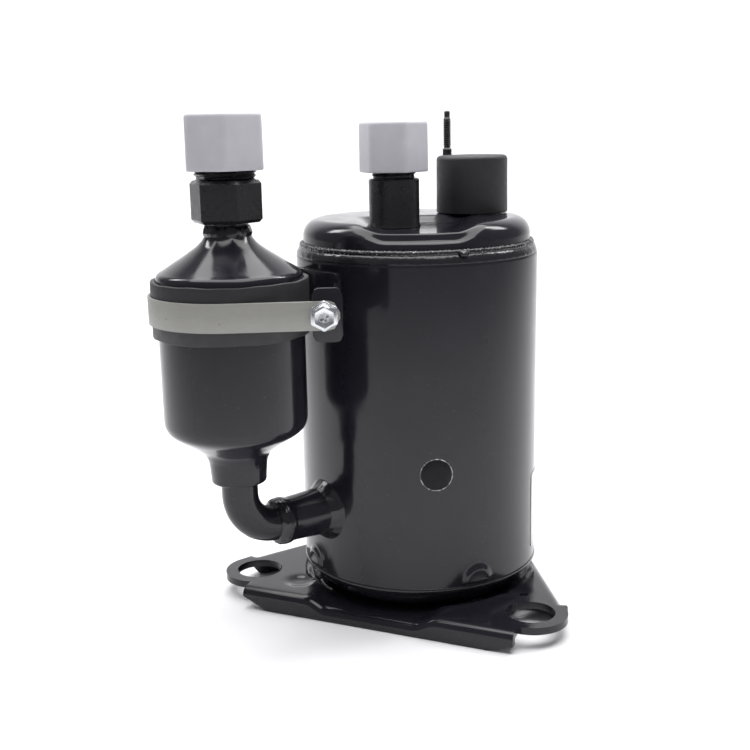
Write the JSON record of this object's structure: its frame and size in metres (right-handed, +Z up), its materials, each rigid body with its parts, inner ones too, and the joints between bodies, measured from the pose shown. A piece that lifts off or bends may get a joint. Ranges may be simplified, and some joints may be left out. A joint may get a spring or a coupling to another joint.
{
  "type": "rotary compressor",
  "caption": "Hermetic rotary refrigeration compressor with a side accumulator, elbow, screw-capped ports, terminal cover and lugged base plate.",
  "frame": {"origin": "centre of the mounting hole circle, on the underside of the lugs", "axes": "+Z up along the crankshaft and shell axis; the base plate's long front edge is parallel to X and faces -Y; the accumulator stands towards -Y and -X"},
  "size_m": [0.153, 0.1956, 0.2047],
  "materials": {
    "black_enamel": "baked gloss black enamel",
    "painted_weld": "weld beads under thin black paint",
    "black_fitting": "satin black paint over machined steel",
    "galvanised_steel": "rolled galvanised strip",
    "zinc_plate": "bright zinc plating",
    "polyethylene": "natural moulded polyethylene",
    "black_rubber": "moulded black rubber",
    "copper_tube": "drawn copper",
    "brass": "stamped brass",
    "terminal_glass": "fused sealing glass",
    "label_film": "blank white polyester label",
    "lead_sleeve": "braided sleeve on the motor leads",
    "winding_wire": "enamelled copper wire",
    "insulator": "moulded polyester insulator",
    "magnet": "nickel-plated sintered magnet",
    "lamination_steel": "stacked electrical steel",
    "cast_iron": "machined grey iron",
    "ground_steel": "hardened and ground steel"
  },
  "bodies": {
    "housing": {"shell_tube": "black_enamel", "top_cap": "black_enamel", "bottom_cap": "black_enamel", "top_weld_bead": "painted_weld", "bottom_weld_bead": "painted_weld", "plug_welds": "painted_weld", "base_plate": "black_enamel", "base_welds": "painted_weld", "accumulator_shell": "black_enamel", "accumulator_standpipe": "copper_tube", "accumulator_screen": "brass", "accumulator_bracket": "black_enamel", "accumulator_pad": "black_rubber", "accumulator_strap": "galvanised_steel", "strap_screw": "zinc_plate", "strap_nut": "zinc_plate", "suction_fitting": "black_fitting", "discharge_fitting": "black_fitting", "suction_elbow": "black_enamel", "elbow_braze_ring": "painted_weld", "suction_stub": "black_enamel", "stub_braze_ring": "painted_weld", "suction_insert": "copper_tube", "terminal_body": "ground_steel", "terminal_glass": "terminal_glass", "terminal_pins": "brass", "terminal_cover": "black_rubber", "terminal_stud": "black_fitting", "rating_label": "label_film", "motor_leads": "lead_sleeve", "stator_core": "lamination_steel", "stator_windings": "winding_wire", "stator_insulators": "insulator", "vane_spring": "ground_steel", "cylinder_block": "cast_iron", "main_bearing": "cast_iron", "sub_bearing": "cast_iron", "bearing_bolts": "zinc_plate", "reed_retainer": "ground_steel", "reed_rivet": "brass", "muffler": "ground_steel"},
    "crank": {"crankshaft": "ground_steel", "rotor_core": "lamination_steel", "rotor_magnets": "magnet", "rotor_end_plates": "brass", "balance_weights": "brass", "rotor_rivets": "ground_steel", "oil_paddle": "ground_steel"},
    "roller": {"roller": "ground_steel"},
    "vane": {"vane": "ground_steel"},
    "reed": {"discharge_reed": "ground_steel"},
    "suction_seal": {"suction_cap_seal": "black_rubber"},
    "suction_cap": {"suction_cap": "polyethylene"},
    "discharge_seal": {"discharge_cap_seal": "black_rubber"},
    "discharge_cap": {"discharge_cap": "polyethylene"}
  },
  "joints": [
    {"name": "crank_spin", "type": "hinge", "parent": "housing", "child": "crank", "pos_m": [0, 0, 0.06], "axis": [0, 0, 1], "continuous": true},
    {"name": "roller_turn", "type": "hinge", "parent": "crank", "child": "roller", "pos_m": [-0.00007, -0.004, 0.038], "axis": [0, 0, 1], "continuous": true},
    {"name": "vane_slide", "type": "slide", "parent": "housing", "child": "vane", "axis": [-0.0175, -0.9998, 0], "range_m": [0, 0.0005], "stiffness_N_per_m": 600},
    {"name": "reed_lift", "type": "hinge", "parent": "housing", "child": "reed", "pos_m": [0.01579, -0.01322, 0.0555], "axis": [-0.3584, 0.9336, 0], "range_deg": [0, 6], "stiffness_Nm_per_rad": 0.02},
    {"name": "suction_cap_lift", "type": "slide", "parent": "housing", "child": "suction_seal", "axis": [0, 0, 1], "range_m": [0, 0.012]},
    {"name": "suction_cap_spin", "type": "hinge", "parent": "suction_seal", "child": "suction_cap", "pos_m": [-0.04363, -0.07872, 0.187], "axis": [0, 0, 1], "range_deg": [0, 2880]},
    {"name": "discharge_cap_lift", "type": "slide", "parent": "housing", "child": "discharge_seal", "axis": [0, 0, 1], "range_m": [0, 0.012]},
    {"name": "discharge_cap_spin", "type": "hinge", "parent": "discharge_seal", "child": "discharge_cap", "pos_m": [-0.00242, -0.01723, 0.184], "axis": [0, 0, 1], "range_deg": [0, 2880]}
  ],
  "couplings": [
    {"joint": "roller_turn", "follows": "crank_spin", "ratio": -1},
    {"joint": "suction_cap_lift", "follows": "suction_cap_spin", "m_per_rad": 0.0002387},
    {"joint": "discharge_cap_lift", "follows": "discharge_cap_spin", "m_per_rad": 0.0002387}
  ]
}
